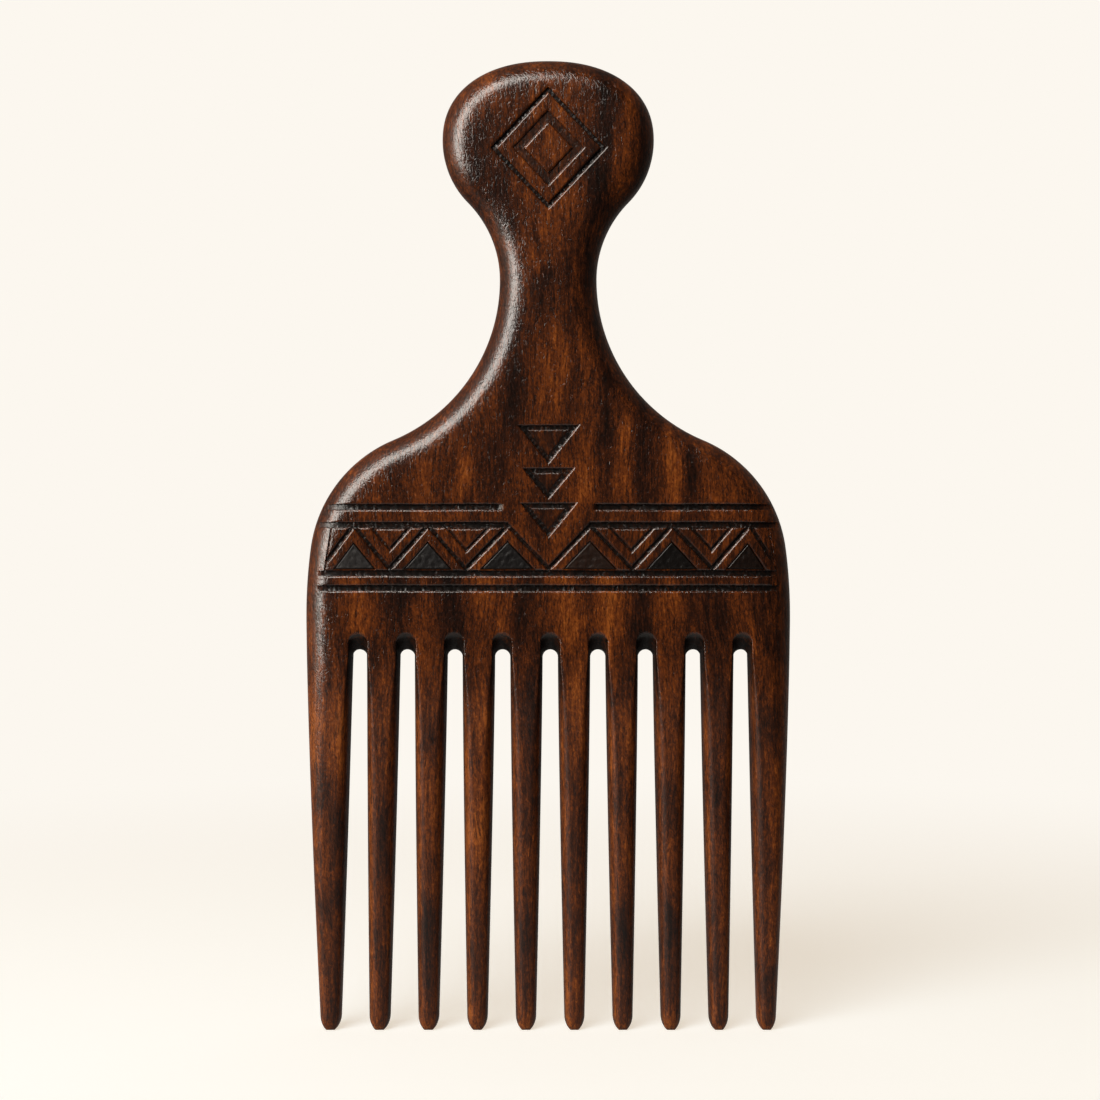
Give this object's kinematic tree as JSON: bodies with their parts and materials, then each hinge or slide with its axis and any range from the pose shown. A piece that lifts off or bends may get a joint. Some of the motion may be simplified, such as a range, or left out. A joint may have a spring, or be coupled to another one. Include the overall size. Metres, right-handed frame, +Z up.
{
  "type": "afro pick",
  "caption": "Carved wooden afro pick with a rounded diamond-cut head, a waisted neck, a zigzag band with dark triangular inlays, and long tapering teeth.",
  "frame": {"origin": "centre of the bounding box's base: the comb stands on its tooth tips, half-way through its thickness", "axes": "+Z up from the tooth tips to the head, +X to the right as seen from the front, and the carved front faces -Y"},
  "size_m": [0.095, 0.009, 0.19],
  "materials": {
    "rosewood": "satin, oiled and rubbed",
    "inlay_wood": "satin, darkened"
  },
  "bodies": {
    "root": {"comb_body": "rosewood", "inlay_1": "inlay_wood", "inlay_2": "inlay_wood", "inlay_3": "inlay_wood", "inlay_4": "inlay_wood", "inlay_5": "inlay_wood", "inlay_6": "inlay_wood"}
  },
  "joints": []
}
